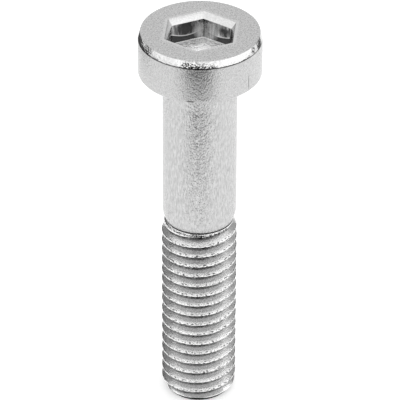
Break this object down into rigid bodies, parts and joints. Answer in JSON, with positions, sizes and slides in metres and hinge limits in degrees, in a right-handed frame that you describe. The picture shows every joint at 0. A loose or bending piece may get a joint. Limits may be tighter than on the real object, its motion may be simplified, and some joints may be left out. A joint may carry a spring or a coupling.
{
  "type": "low head socket cap screw",
  "caption": "Screw with a low cylindrical head, a hexagon socket, a plain shank, and a right-hand thread that runs out under the shank's shoulder and tapers at its flat end.",
  "frame": {"origin": "centre of the bearing face under the head, on the axis of the screw", "axes": "+Z along the axis of the screw, from its end towards its head; two corners of the socket lie on the Y axis"},
  "size_m": [0.0128, 0.0128, 0.0444],
  "materials": {
    "steel": "satin stainless steel, barrel-finished"
  },
  "bodies": {
    "root": {"screw": "steel"}
  },
  "joints": []
}
